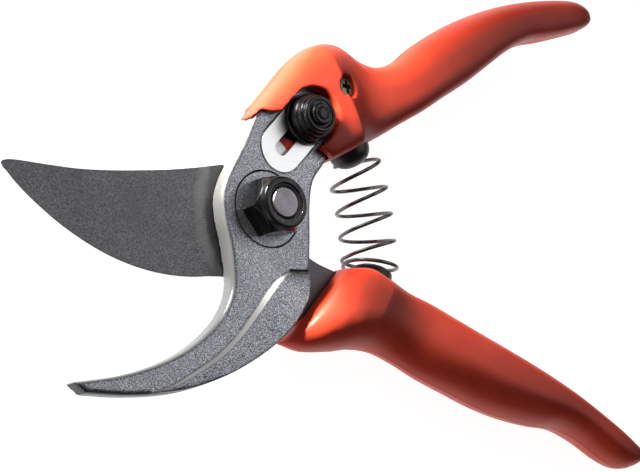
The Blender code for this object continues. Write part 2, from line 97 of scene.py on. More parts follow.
# Radii, widths across flats and distances along the catch's slot
BOLT_R = 4.0
BORE_R = 5.56
NUT_FLATS = 14.0
NUT_TURN_DEG = 4
HEAD_FLATS = 13.0
COUNTERBORE_R = 9.9
SLOT_END = Vector((6.3, 16.0))
SLOT_DEG = 42.5
KNOB_T = 11.8
SLIDE_T = (2.2, 13)
PIN_T = 1
TRAVEL = 5.0
PLATE_R = 6.3
SLOT_R = 1.9
SLIDE_R = 3.5
STEM_R = 1.6
LOCK_PIN_R = 1.5
WIRE_R = 0.5
COIL_R = 7.1

# Where these outlines follow the tool's silhouette, their points were measured in the photo by one program
# and turned into millimetres by another; they were then thinned and rounded. They are measured data and not
# a design.
HOOK_INNER = [(-0.8, 24.7), (-6, 16), (-11, 8.6), (-13.4, 3), (-13.5, -3), (-12.6, -9), (-12.3, -16),
              (-13.2, -21.5), (-16.5, -27), (-22, -32), (-29, -36.3), (-38, -39.8), (-48, -42.2),
              (-57.6, -43.4)]
HOOK_TIP = [(-60.5, -43.7), (-57.6, -46.4)]
HOOK_OUTER = [(-55, -46.6), (-47, -47), (-38, -46.8), (-30, -45.9), (-22, -43.9), (-14, -41.1),
              (-7, -37.6), (0, -33.4), (6, -28.2), (10, -22.2), (12, -14.5), (13.3, -6), (14.2, 1.5),
              (16, 8), (20.2, 13)]
HOOK_TANG = [(24.5, 18.6), (31, 22.4), (40, 26.6), (50, 31.8), (60, 37), (70, 43), (79, 49.5),
             (80, 52.5), (77, 53.3), (68, 49.5), (58, 44), (48, 39), (40, 37.2), (33, 38.2), (26, 38.6),
             (18, 36.2), (11, 31.6), (5.5, 28), (1.4, 26.6)]
RIB_WALL = [(4.6, -15.8), (2.2, -17.0), (-0.9, -19.3), (-5, -23.7), (-8.6, -27.6), (-13.6, -32.6),
            (-20, -37.6), (-26.8, -41.3), (-33.5, -44.5), (-39, -46.4)]
RIB_EDGE = [(11.6, -15.8), (11.2, -18), (10, -21.8), (7.6, -25.6), (4, -29.8), (-1.5, -34.1),
            (-9.5, -38.7), (-19, -42.8), (-30, -45.7), (-40, -46.6)]
RIB_RISE = [0.03, 0.5, 0.9, 1, 1, 1, 0.97, 0.85, 0.6, 0.15]
RIB_SLOPE_W = 1.4
RIB_GROOVE = [(4.9, -15.3), (11.8, -15.3), (11.8, -15.9), (4.9, -15.9)]
BLADE_SPINE = [(-73, 8.7), (-72.2, 9.5), (-69, 9.8), (-60, 9.1), (-51.5, 8.6), (-43, 8.7), (-34, 9.2),
               (-25, 9.9), (-16, 11), (-9.2, 12)]
BLADE_TANG = [(11.2, -6.4), (14, -9.8), (18, -12.3), (23.5, -14.4), (29, -17.3), (36, -20.4), (46, -24.6),
              (57, -29.8), (67, -35), (73.5, -38.6), (75.3, -41.4), (73, -43.3), (64, -40.2),
              (53, -35.6), (42, -31.8), (32, -29.2), (22, -28.6), (12, -27.4), (4, -23.2), (-4, -18.6)]
BLADE_EDGE = [(-4, -18.6), (-8.5, -17.3), (-13.4, -16.6), (-20.9, -17), (-27, -16.8), (-33, -16),
              (-39.5, -14.4), (-46, -12), (-52, -9), (-58, -5.3), (-64, -0.7), (-69, 3.9)]
BEVEL_W = 4.6
TIP_CUT = 2.4
HOLLOW_LINE = [(-12, 15), (-14, 10), (-16, 5.3), (-17, 0.2), (-16.6, -5), (-15.4, -10.5), (-13.5, -16),
               (-11.5, -21)]
# The hollow's step as the blade's painted highlight and painted shade follow it: its middle, its bend per metre
# and its waver
STEP_MIDDLE, STEP_BEND, STEP_WAVER = -1.5, 20.0, 1.2
HEEL_R = 11.0
LUG_R = 15.0
LUG_DEG = (42.5, 64.0)

# Grips: outer point, inner point, top, bottom, for stations from the blades outwards. The in-plane points
# started from the same two scripts, and about half were then changed to the output of a third one, which
# compared the model's silhouette with the photo's. These too are measured data and not a design.
UPPER_GRIP = [
    ((-2.5, 23.9), (19, 13.4), 14.9, 0.8), ((5.9, 32.3), (22.5, 14.1), 16.3, 0.4),
    ((14, 40.3), (26.5, 15.7), 17.1, 0.2), ((21, 44.7), (31.5, 17.8), 17.7, 0.2),
    ((28.6, 45.8), (37.6, 20.4), 15.2, 0.7), ((35.5, 42.7), (43.2, 23), 14.5, 1.4),
    ((41.8, 41.2), (49.6, 26.3), 14.7, 1.6), ((49.2, 43), (56.1, 29.5), 15.3, 1.2),
    ((57, 48.3), (63.5, 33.7), 16.0, 0.6), ((66, 53.3), (72.5, 38.7), 16.4, 0.2),
    ((75.5, 57.7), (80.5, 43.8), 16.5, 0.0), ((84.7, 61.1), (88.5, 48.8), 16.2, 0.3),
    ((94, 63.8), (97, 52.7), 15.7, 0.9), ((103.6, 65.7), (106.5, 54.8), 15.2, 1.5),
    ((112.5, 66.8), (114.5, 56.9), 14.8, 2.0), ((118, 66.9), (120, 58.6), 14.2, 2.7),
    ((121.8, 65.5), (123, 60.4), 13.0, 4.0), ((123.6, 63.6), (123.8, 61.8), 11.0, 6.2)]
LOWER_GRIP = [
    ((4.8, -32.7), (24, -14), 10.4, 0.8), ((6.0, -33.6), (24.8, -13.9), 14.0, 0.7),
    ((10.5, -35.2), (28.4, -13.8), 16.3, 0.5),
    ((18, -35.2), (32.4, -14.2), 17.0, 0.3), ((25.8, -34.5), (37.8, -16.9), 16.8, 0.3),
    ((33.4, -35.3), (44.4, -20), 15.4, 1.0), ((40.3, -38.2), (51.2, -22.5), 15.0, 1.5),
    ((48.3, -42.3), (57.6, -25.7), 15.6, 1.1), ((57.4, -46.1), (65, -29.4), 16.2, 0.5),
    ((66.7, -49.9), (72.8, -33.1), 16.5, 0.1), ((76, -52.8), (81.3, -37.1), 16.5, 0.0),
    ((85.6, -54.8), (90.2, -41.5), 16.2, 0.3), ((94.5, -56), (99.1, -46.3), 15.6, 0.9),
    ((102.7, -59.6), (107.3, -51.2), 15.0, 1.5), ((110, -64.3), (115.2, -56.3), 14.6, 2.0),
    ((115.8, -66.8), (120.6, -60.3), 14.0, 2.7), ((120.4, -66.7), (123.4, -62.4), 13.0, 3.8),
    ((123, -65.4), (124, -63.9), 11.0, 6.0)]
# The hollow for the knob: a curve, then the straight corners that leave the grip
CATCH_RECESS = [(-5, 21.2), (-3.6, 22.4), (-1.4, 24.2), (0.7, 25.6), (2.8, 25), (5.8, 25.2), (8.6, 28),
                (12, 30.9), (15.6, 32), (19.5, 31.2), (22.3, 28.6), (23.1, 25), (22, 21.3), (19.6, 18.4),
                (17.7, 16.9), (17.8, 16.1), (20, 14.9)]
RECESS_CORNERS = [(22.4, 13.4), (26, 10), (20, 2), (-12, 2), (-12, 18)]
BACK_STEP = [(-12, 35), (1.5, 27.3), (11.5, 21.5), (21, 16), (24, 0), (-12, 0)]
# How many stations from the blades a grip is squarer
BLOCK_STATIONS = 5

# Buffers: place, direction, height. Screws: place, direction, length.
UPPER_BUFFER = ((31.8, 17.9), (0.43, -0.903), 4.4)
LOWER_BUFFER = ((35.0, -14.9), (0.30, 0.954), 2.2)
BUFFER_R = 5.5
UPPER_SCREW = ((27.1, 33, 16.2), (0.27, 0.15, 0.951), 12.0)
LOWER_SCREW = ((47, -31.5, 1.3), (0, 0, -1), 11.5)
SCREW_HEAD_R = 2.9
CROSS_DEPTH = 1.9
SCREW_R = 1.4
SCREW_GAP = 0.25
# Spring: turns, x and y of the coil's axis, and its tilt in degrees
SPRING_AXIS = [(-0.25, 32.2, 15.3, 20), (0.0, 32.6, 13.8, 19), (0.5, 33.6, 10.4, 15), (1.5, 34.6, 3.8, 13),
               (2.5, 35.0, -3.0, 9), (3.5, 34.9, -9.8, 4), (4.0, 34.8, -12.6, -8), (4.5, 34.9, -13.6, -17),
               (4.9, 34.9, -13.9, -18)]

# The ridge along each grip's parting line: its angles round the section, in degrees, and its height
PARTING_DEG = (-3.4, -1.2, 0, 1.2, 3.4)
PARTING_H = 0.28

# The red mark on the slide: where it starts and ends along the slot
RED_MARK = (2.1, 4.3)

CUTTERS = bpy.data.collections.new("cutters")
MADE = bpy.data.collections.new("pruner_pieces")
for collection in (CUTTERS, MADE):
    bpy.context.scene.collection.children.link(collection)


# ---------------------------------------------------------------- shapes

def slot_point(t):
    """The point at a distance along the catch's slot, from its end near the nut."""
    a = math.radians(SLOT_DEG)
    return SLOT_END + t * Vector((math.cos(a), math.sin(a)))


def smooth(points, steps=FINE):
    """A Catmull-Rom curve through open control points of any dimension."""
    pts = [Vector(p) for p in points]
    pts = [2 * pts[0] - pts[1]] + pts + [2 * pts[-1] - pts[-2]]
    out = []
    for a, b, c, d in zip(pts, pts[1:], pts[2:], pts[3:]):
        for k in range(steps):
            t = k / steps
            out.append(0.5 * (2 * b + (c - a) * t + (2 * a - 5 * b + 4 * c - d) * t ** 2
                              + (3 * b - a - 3 * c + d) * t ** 3))
    return out + [pts[-2]]


def grown(outline, by):
    """The closed outline moved outwards by a distance."""
    area = sum(a.x * b.y - b.x * a.y for a, b in zip(outline, outline[1:] + outline[:1]))
    side = 1 if area > 0 else -1
    out = []
    for before, here, after in zip(outline[-1:] + outline[:-1], outline, outline[1:] + outline[:1]):
        one = (here - before).normalized()
        two = (after - here).normalized()
        normal = Vector((one.y + two.y, -one.x - two.x)).normalized() * side
        out.append(here + normal * by / max(0.5, normal.dot(Vector((one.y, -one.x)) * side)))
    return out


def circle(centre, radius, count, first=0.0):
    """Points evenly round a circle, from an angle in radians."""
    step = 2 * math.pi / count
    return [Vector((centre[0] + radius * math.cos(k * step + first),
                    centre[1] + radius * math.sin(k * step + first))) for k in range(count)]


def stadium(start, end, radius, count=32):
    """The outline of a slot with round ends."""
    run = math.atan2(end.y - start.y, end.x - start.x)
    out = []
    for centre, turn in ((end, run - math.pi / 2), (start, run + math.pi / 2)):
        out += [centre + radius * Vector((math.cos(turn + math.pi * k / count),
                                          math.sin(turn + math.pi * k / count)))
                for k in range(count + 1)]
    return out


def mesh_object(name, mesh, where):
    """A mesh in its collection. Cutters are never rendered."""
    obj = bpy.data.objects.new(name, mesh)
    where.objects.link(obj)
    if where is CUTTERS:
        obj.hide_render = True
    return obj


def welded(mesh, dist=1e-7):
    """Doubled points merged, fans round the axis made flat caps, and faces turned outwards."""
    bm = bmesh.new()
    bm.from_mesh(mesh)
    bmesh.ops.remove_doubles(bm, verts=bm.verts, dist=dist)
    for hub in [v for v in bm.verts if v.co.xy.length < 1e-7 and len(v.link_edges) > FAN_EDGES]:
        bmesh.ops.dissolve_verts(bm, verts=[hub])
    bmesh.ops.recalc_face_normals(bm, faces=bm.faces)
    bm.to_mesh(mesh)
    bm.free()
    return mesh


def evaluated(obj):
    """A new mesh with the object's modifiers applied."""
    graph = bpy.context.evaluated_depsgraph_get()
    return bpy.data.meshes.new_from_object(obj.evaluated_get(graph))


def stack(name, rings, where):
    """A loft through closed rings that have the same number of points."""
    n = len(rings[0])
    points = [p for ring in rings for p in ring]
    faces = [list(range(n)), [len(points) - n + k for k in range(n)]]
    for level in range(len(rings) - 1):
        for k in range(n):
            a, b = level * n + k, level * n + (k + 1) % n
            faces.append([a, b, b + n, a + n])
    mesh = bpy.data.meshes.new(name)
    mesh.from_pydata([Vector(p) * MM for p in points], [], faces)
    return mesh_object(name, welded(mesh), where)


def slab(name, outline, low, high, where=None, round_high=0.0, steps=4):
    """A flat outline with thickness, its upper rim rounded where a radius is given."""
    outline = [Vector(p) for p in outline]
    levels = [(low, 0.0), (high - round_high, 0.0)]
    for k in reversed(range(steps if round_high else 0)):
        a = math.pi / 2 * k / steps
        levels.append((high - round_high * (1 - math.cos(a)), -round_high * (1 - math.sin(a))))
    rings = [[(p.x, p.y, z) for p in (grown(outline, by) if by else outline)] for z, by in levels]
    return stack(name, rings, where or CUTTERS)


def turned(name, profile, where=None, at=(0, 0, 0), along=(0, 0, 1), count=96):
    """A closed profile of (radius, height) turned round its axis, then placed."""
    rings, points, faces = [], [], []
    for r, z in profile:
        if r <= 0:
            rings.append([len(points)])
            points.append((0, 0, z * MM))
            continue
        rings.append([len(points) + k for k in range(count)])
        points += [(p.x * MM, p.y * MM, z * MM) for p in circle((0, 0), r, count)]
    for one, two in zip(rings, rings[1:] + rings[:1]):
        for k in range(count):
            j = (k + 1) % count
            if len(one) == 1 and len(two) == 1:
                break
            if len(one) == 1:
                faces.append([one[0], two[k], two[j]])
            elif len(two) == 1:
                faces.append([one[k], two[0], one[j]])
            else:
                faces.append([one[k], one[j], two[j], two[k]])
    mesh = bpy.data.meshes.new(name)
    mesh.from_pydata(points, [], faces)
    obj = mesh_object(name, welded(mesh), where or CUTTERS)
    facing = Vector((0, 0, 1)).rotation_difference(Vector(along)).to_matrix().to_4x4()
    obj.data.transform(Matrix.Translation(Vector(at) * MM) @ facing)
    return obj


def rod(name, radius, low, high, at=(0, 0, 0), along=(0, 0, 1)):
    """A round cutter."""
    return turned(name, [(0, low), (radius, low), (radius, high), (0, high)], None, at, along)


def combine(target, tool, how="DIFFERENCE"):
    """A Boolean, made final at once so that the next one starts from a plain mesh."""
    step = target.modifiers.new(tool.name, "BOOLEAN")
    step.operation, step.object, step.solver = how, tool, "EXACT"
    mesh = evaluated(target)
    target.modifiers.clear()
    target.data = mesh
    return target


def moulded(obj, voxel=VOXEL, passes=6):
    """The shape with every edge softened, as a casting or a moulding has."""
    step = obj.modifiers.new("remesh", "REMESH")
    step.mode, step.voxel_size = "VOXEL", voxel * MM
    soften = obj.modifiers.new("soften", "SMOOTH")
    soften.factor, soften.iterations = 0.5, passes
    mesh = evaluated(obj)
    obj.modifiers.clear()
    obj.data = mesh
    return obj


def piece(obj, body, nodes, material, angle=35, weighted=True):
    """Shades a finished mesh, gives it its material and hands it to the frame."""
    welded(obj.data, 2e-6)
    obj.data.shade_smooth()
    if angle:
        obj.data.set_sharp_from_angle(angle=math.radians(angle))
    obj.data.materials.clear()
    obj.data.materials.append(material)
    if weighted:
        even = obj.modifiers.new("even_normals", "WEIGHTED_NORMAL")
        even.keep_sharp = True
    if body:
        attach(obj, body)
    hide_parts(*nodes)
    return obj


# ---------------------------------------------------------------- materials

class Surface:
    """A Principled material under construction, with short calls for its nodes."""

    def __init__(self, name, colour, metal, rough, **others):
        self.mat = bpy.data.materials.new(name)
        self.mat.use_nodes = True
        self.tree = self.mat.node_tree
        self.shader = self.tree.nodes["Principled BSDF"]
        self.set("Base Color", (*colour, 1))
        self.set("Metallic", metal)
        self.set("Roughness", rough)
        for key, value in others.items():
            self.set(key.replace("_", " "), value)
        self.place = self.node("ShaderNodeTexCoord").outputs["Object"]

    def set(self, socket, value):
        """Gives a socket of the shader a value or a link."""
        target = self.shader.inputs[socket]
        if isinstance(value, bpy.types.NodeSocket):
            self.tree.links.new(value, target)
        else:
            target.default_value = value

    def node(self, kind, values=None, **props):
        """A new node with its inputs, as values or links, and its settings."""
        made = self.tree.nodes.new(kind)
        for key, value in props.items():
            setattr(made, key, value)
        for key, value in (values or {}).items():
            if isinstance(value, bpy.types.NodeSocket):
                self.tree.links.new(value, made.inputs[key])
            else:
                made.inputs[key].default_value = value
        return made

    def scaled(self, x, y, z, turn=0.0):
        """The object's coordinates, turned about Z and stretched, for streaks."""
        return self.node("ShaderNodeMapping", {"Vector": self.place, "Scale": (x, y, z),
                                               "Rotation": (0, 0, turn)}).outputs[0]

    def noise(self, size_mm, detail=3, rough=0.55, at=None):
        """Noise of a grain size, or along given coordinates."""
        return self.node("ShaderNodeTexNoise", {
            "Vector": at or self.place, "Scale": (1.0 if at else 1 / (size_mm * MM)),
            "Detail": detail, "Roughness": rough}).outputs["Fac"]

    def cells(self, size_mm):
        """A random value for each cell of that size."""
        return self.node("ShaderNodeTexVoronoi",
                         {"Vector": self.place, "Scale": 1 / (size_mm * MM)}).outputs["Color"]

    def span(self, value, a, b, low=0.0, high=1.0, soft=False):
        """A value's range from a to b, mapped to low to high."""
        return self.node("ShaderNodeMapRange", {"Value": value, "From Min": a, "From Max": b,
                                                "To Min": low, "To Max": high},
                         interpolation_type="SMOOTHSTEP" if soft else "LINEAR").outputs[0]

    def math(self, how, a, b=0.0):
        return self.node("ShaderNodeMath", {0: a, 1: b}, operation=how, use_clamp=False).outputs[0]

    def axis(self, vector, which):
        return self.node("ShaderNodeSeparateXYZ", {0: vector}).outputs[which]

    def mix(self, factor, a, b):
        """A colour between two colours, each a value or a link."""
        made = self.node("ShaderNodeMix", data_type="RGBA")
        for index, value in ((0, factor), (6, a), (7, b)):
            if isinstance(value, bpy.types.NodeSocket):
                self.tree.links.new(value, made.inputs[index])
            else:
                made.inputs[index].default_value = value if index == 0 else (*value, 1)
        return made.outputs[2]

    def rounded(self, radius_mm):
        """The normal with every edge softened."""
        return self.node("ShaderNodeBevel", {"Radius": radius_mm * MM}, samples=6).outputs[0]

    def bump(self, height, strength, distance_mm, soften_mm=0.0):
        values = {"Height": height, "Strength": strength, "Distance": distance_mm * MM}
        if soften_mm:
            values["Normal"] = self.rounded(soften_mm)
        self.set("Normal", self.node("ShaderNodeBump", values).outputs[0])

    def normal(self):
        return self.node("ShaderNodeNewGeometry").outputs["Normal"]

    def upright(self):
        """How far the surface faces along Z: 1 on the faces, 0 on the walls."""
        return self.math("ABSOLUTE", self.axis(self.normal(), 2))

    def edges(self, radius_mm):
        """1 on convex and concave edges, 0 on open surface."""
        dot = self.node("ShaderNodeVectorMath", {0: self.rounded(radius_mm), 1: self.normal()},
                        operation="DOT_PRODUCT").outputs["Value"]
        return self.span(dot, 0.999, 0.93)


def alloy(name="alloy", dull=(0.06, 0.06, 0.07), shine=(0.47, 0.48, 0.52), walls=(0.36, 0.42)):
    """Cast alloy: grainy faces; smooth walls towards the blade, bright as machined and as painted light, and
    outer walls, dark as cast and as painted shade.
    """
    s = Surface(name, (0.3, 0.3, 0.33), 0.9, 0.4)
    speck = s.noise(0.23, 1, 0.5)
    grain = s.span(speck, 0.43, 0.58)
    spark = s.span(s.axis(s.cells(0.25), 0), 0.78, 0.92)
    face = s.mix(grain, dull, shine)
    face = s.mix(s.math("MULTIPLY", spark, 0.6), face, (0.80, 0.81, 0.84))
    face = s.mix(s.span(s.noise(9, 3), 0.3, 0.75, 0.0, 0.25), face, tuple(0.5 * c for c in shine))
    normal = s.normal()
    # Walls facing -Y (and a little +X) take the dark colour and the rest take the bright one. This is painted
    # shade and painted light by the side a wall faces, on top of the cast and machined finishes.
    painted_shade_side = s.math("ADD", s.math("MULTIPLY", s.axis(normal, 0), 0.45),
                     s.math("MULTIPLY", s.axis(normal, 1), -0.9))
    outer = s.span(painted_shade_side, 0.0, 0.3)
    inner = s.mix(s.noise(0.8, 4), (walls[0],) * 3, (walls[1],) * 3)
    flat = s.span(s.upright(), 0.74, 0.96, soft=True)
    wall = s.mix(outer, inner, s.mix(grain, (0.035, 0.036, 0.04), (0.13, 0.13, 0.14)))
    s.set("Base Color", s.mix(flat, wall, face))
    s.set("Metallic", s.math("ADD", 0.3, s.math("MULTIPLY", s.math("MAXIMUM", flat, outer), 0.6)))
    s.set("Roughness", s.mix(flat, (0.3, 0.3, 0.3), s.mix(grain, (0.48,) * 3, (0.34,) * 3)))
    s.bump(s.math("MULTIPLY", speck, flat), 0.5, 0.07)
    return s.mat


def blade_steel():
    """Dark ground steel with a fine grain, a painted highlight along the step of its hollow and painted shade
    on its side towards the hook.
    """
    s = Surface("blade_steel", (0.13, 0.13, 0.135), 0.92, 0.42)
    speck = s.noise(0.3, 1, 0.5)
    fine = s.mix(s.span(speck, 0.4, 0.62), (0.09, 0.089, 0.095), (0.215, 0.213, 0.217))
    spark = s.span(s.axis(s.cells(0.3), 1), 0.86, 1.0, 0.0, 0.3)
    fine = s.mix(spark, fine, (0.32, 0.32, 0.33))
    # The pale band along the hollow's step is a painted highlight of its slope.
    y = s.math("ADD", s.axis(s.place, 1), -STEP_MIDDLE * MM)
    ramp = s.math("SUBTRACT", s.axis(s.place, 0), s.math("MULTIPLY", s.math("MULTIPLY", y, y), STEP_BEND))
    ramp = s.math("ADD", ramp, s.math("MULTIPLY", s.noise(3, 2), STEP_WAVER * MM))
    near = s.math("MULTIPLY", s.span(ramp, -0.0194, -0.0168, 0.0, 1.0, True),
                  s.span(ramp, -0.0162, -0.0142, 1.0, 0.0, True))
    fine = s.mix(s.math("MULTIPLY", near, 0.55), fine, (0.34, 0.34, 0.34))
    # Painted shade: the blade is darker on the side of the step towards the hook.
    fine = s.mix(s.span(ramp, -0.0158, -0.0142, 0.0, 0.5, True), fine, (0.05, 0.05, 0.052))
    patches = s.span(s.noise(14, 4, 0.6), 0.35, 0.7, 0.0, 0.5)
    fine = s.mix(patches, fine, (0.105, 0.105, 0.115))
    colour = s.mix(s.span(s.upright(), 0.9, 0.6), fine, (0.10, 0.10, 0.105))
    # Painted shade: the blade is darkened along every edge and crease.
    colour = s.mix(s.math("MULTIPLY", s.edges(0.3), 0.5), colour, (0.05, 0.05, 0.05))
    s.set("Base Color", colour)
    lines = s.noise(1, 2, at=s.scaled(3000, 160, 400, 0.32))
    s.set("Roughness", s.span(lines, 0.2, 0.8, 0.38, 0.5))
    s.bump(s.math("ADD", speck, s.math("MULTIPLY", lines, 0.4)), 0.3, 0.04, 0.12)
    return s.mat


def machined(name, colour, rough, ring=0.25):
    """Turned steel: rings round the pivot's axis, light smudges, and rims lightened as a painted highlight."""
    s = Surface(name, colour, 1.0, rough)
    waves = s.node("ShaderNodeTexWave", {"Vector": s.place, "Scale": 0.3 / (ring * MM),
                                         "Distortion": 1.2, "Detail": 2, "Detail Scale": 2.0},
                   wave_type="RINGS", rings_direction="Z").outputs["Fac"]
    dirt = s.noise(2.2, 5, 0.6)
    dark = tuple(c * 0.72 for c in colour)
    base = s.mix(s.span(dirt, 0.35, 0.7), colour, dark)
    # Painted highlight: every rim and edge is lightened.
    base = s.mix(s.math("MULTIPLY", s.edges(0.25), 0.75), base, tuple(min(1, c * 2.4 + 0.08) for c in colour))
    s.set("Base Color", base)
    s.set("Roughness", s.span(dirt, 0.3, 0.7, rough * 0.85, rough * 1.25))
    s.bump(s.math("ADD", waves, s.noise(0.3, 3)), 0.12, 0.03, 0.15)
    return s.mat


def black_metal():
    """Black oxide with an oily gloss, worn pale on its rims."""
    s = Surface("black_metal", (0.012, 0.012, 0.013), 0.8, 0.2, Coat_Weight=0.45, Coat_Roughness=0.14,
                Coat_IOR=1.4)
    wear = s.span(s.noise(0.7, 4, 0.7), 0.35, 0.62)
    edge = s.math("MULTIPLY", s.edges(0.22), wear)
    blotch = s.span(s.noise(1.6, 5, 0.65), 0.42, 0.7)
    base = s.mix(blotch, (0.006, 0.006, 0.007), (0.024, 0.022, 0.022))
    base = s.mix(s.math("MULTIPLY", edge, 0.55), base, (0.42, 0.40, 0.39))
    s.set("Base Color", base)
    s.set("Roughness", s.span(s.noise(0.5, 4, 0.7), 0.3, 0.7, 0.16, 0.3))
    s.bump(s.noise(0.45, 4, 0.7), 0.1, 0.03, 0.15)
    return s.mat


def bright_steel():
    """Pale satin plate, brushed along its slot."""
    s = Surface("bright_steel", (0.86, 0.86, 0.85), 1.0, 0.3)
    brushed = s.noise(1, 3, at=s.scaled(350, 5200, 350, math.radians(-SLOT_DEG)))
    scratch = s.span(s.noise(1, 2, at=s.scaled(90, 2600, 90, math.radians(-SLOT_DEG - 8))), 0.66, 0.72)
    base = s.mix(s.span(brushed, 0.25, 0.75), (0.80, 0.80, 0.79), (0.95, 0.95, 0.94))
    base = s.mix(s.math("MULTIPLY", scratch, 0.35), base, (0.55, 0.55, 0.55))
    s.set("Base Color", base)
    s.set("Roughness", s.span(brushed, 0.2, 0.8, 0.26, 0.42))
    s.bump(brushed, 0.08, 0.03, 0.12)
    return s.mat


def marked_slide():
    """The slide's plate: pale steel with a red enamel mark and a darkened middle, along the slot."""
    s = Surface("marked_slide", (0.7, 0.7, 0.69), 0.85, 0.34)
    end = slot_point(0)
    local = s.node("ShaderNodeMapping", {"Vector": s.place, "Location": (-end.x * MM, -end.y * MM, 0)},
                   vector_type="POINT").outputs[0]
    turned_to_slot = s.node("ShaderNodeVectorRotate", {"Vector": local, "Angle": math.radians(-SLOT_DEG)},
                            rotation_type="Z_AXIS").outputs[0]
    along, across = s.axis(turned_to_slot, 0), s.axis(turned_to_slot, 1)
    ragged = s.math("ADD", along, s.math("MULTIPLY", s.math("SUBTRACT", s.noise(0.5, 3), 0.5), 0.0004))
    skewed = s.math("ADD", ragged, s.math("MULTIPLY", across, 0.6))
    start, stop = RED_MARK
    dark = s.span(skewed, (stop - 0.1) * MM, (stop + 0.1) * MM)
    red = s.math("MULTIPLY", s.span(ragged, (start - 0.05) * MM, (start + 0.05) * MM),
                 s.math("SUBTRACT", 1.0, dark))
    base = s.mix(s.noise(0.6, 4), (0.58, 0.58, 0.57), (0.80, 0.80, 0.78))
    base = s.mix(red, base, s.mix(s.noise(0.4, 3), (0.62, 0.025, 0.03), (0.80, 0.05, 0.05)))
    base = s.mix(dark, base, (0.035, 0.04, 0.038))
    s.set("Base Color", base)
    s.set("Metallic", s.math("SUBTRACT", 0.85, s.math("MULTIPLY", red, 0.85)))
    s.bump(s.noise(0.3, 3), 0.1, 0.03)
    return s.mat


def grip_plastic():
    """Orange-red moulded plastic: satin, faintly mottled, with handling marks."""
    s = Surface("grip_plastic", (0.62, 0.05, 0.022), 0.0, 0.36, Specular_IOR_Level=0.24)
    mottle = s.noise(6.5, 4, 0.5)
    base = s.mix(s.span(mottle, 0.3, 0.7), (0.60, 0.050, 0.022), (0.66, 0.063, 0.029))
    specks = s.span(s.noise(0.9, 5, 0.7), 0.62, 0.8, 0.0, 0.12)
    base = s.mix(specks, base, (0.72, 0.12, 0.08))
    scuff = s.span(s.noise(1, 3, at=s.scaled(900, 130, 500, 0.5)), 0.66, 0.74, 0.0, 0.12)
    base = s.mix(scuff, base, (0.70, 0.13, 0.09))
    s.set("Base Color", base)
    s.set("Subsurface Weight", 0.12)
    s.set("Subsurface Radius", (1.0, 0.28, 0.12))
    s.set("Subsurface Scale", 0.0016)
    s.set("Roughness", s.span(s.noise(0.7, 5, 0.65), 0.3, 0.7, 0.33, 0.45))
    grain = s.math("ADD", s.noise(0.32, 3, 0.6), s.math("MULTIPLY", s.noise(2.5, 3), 0.8))
    s.bump(grain, 0.10, 0.05)
    return s.mat


def rubber():
    """Black rubber and nylon, dusty in places."""
    s = Surface("rubber", (0.013, 0.014, 0.018), 0.0, 0.4, Specular_IOR_Level=0.45)
    dust = s.span(s.noise(0.8, 5, 0.7), 0.5, 0.75, 0.0, 0.5)
    s.set("Base Color", s.mix(dust, (0.008, 0.008, 0.011), (0.020, 0.021, 0.027)))
    s.set("Roughness", s.span(s.noise(1.2, 4), 0.3, 0.7, 0.3, 0.5))
    s.bump(s.noise(0.35, 4), 0.2, 0.05)
    return s.mat


def spring_wire():
    """Drawn wire: grey, streaked along the coil, with darker scale in places."""
    s = Surface("spring_wire", (0.3, 0.29, 0.28), 1.0, 0.3)
    streak = s.noise(0.5, 5, 0.7)
    base = s.mix(s.span(streak, 0.3, 0.7), (0.07, 0.068, 0.066), (0.25, 0.24, 0.23))
    s.set("Base Color", s.mix(s.span(s.noise(3, 3), 0.5, 0.75, 0.0, 0.5), base, (0.07, 0.06, 0.055)))
    s.set("Roughness", s.span(streak, 0.3, 0.7, 0.24, 0.4))
    s.bump(streak, 0.12, 0.03)
    return s.mat


def pale_floor():
    """A plain pale floor that keeps only a trace of the shadows."""
    s = Surface("pale_floor", (0.9, 0.9, 0.9), 0.0, 0.8)
    s.set("Base Color", s.mix(s.noise(60, 3), (0.44, 0.44, 0.44), (0.46, 0.46, 0.46)))
    s.set("Emission Color", (1, 1, 1, 1))
    s.set("Emission Strength", FLOOR_GLOW)
    return s.mat


LOOK = {
    "alloy": alloy(),
    "blade": blade_steel(),
    "bolt": machined("bolt_steel", (0.24, 0.225, 0.24), 0.36),
    # The washer's walls are nearly black: painted shade along its rim, in the gap round it.
    "washer": alloy("washer_steel", (0.10, 0.10, 0.12), (0.42, 0.43, 0.48), (0.02, 0.03)),
    "screw": machined("screw_steel", (0.30, 0.25, 0.16), 0.38, 0.4),
    "black": black_metal(),
    # Painted shade for the inside of a screw's cross.
    "recess": machined("screw_recess_painted_shade", (0.05, 0.045, 0.035), 0.5, 0.4),
    "bright": bright_steel(),
    "slide": marked_slide(),
    "grip": grip_plastic(),
    "rubber": rubber(),
    "wire": spring_wire(),
    "bronze": machined("bronze", (0.45, 0.33, 0.17), 0.35),
}


# ---------------------------------------------------------------- pieces

def hook_outline():
    """The hook from its inner edge round its tip and outer edge to the tang."""
    tip = [Vector(p) for p in HOOK_TIP]
    return smooth(HOOK_INNER) + tip + smooth(HOOK_OUTER)[:-1] + smooth([HOOK_OUTER[-1]] + HOOK_TANG)


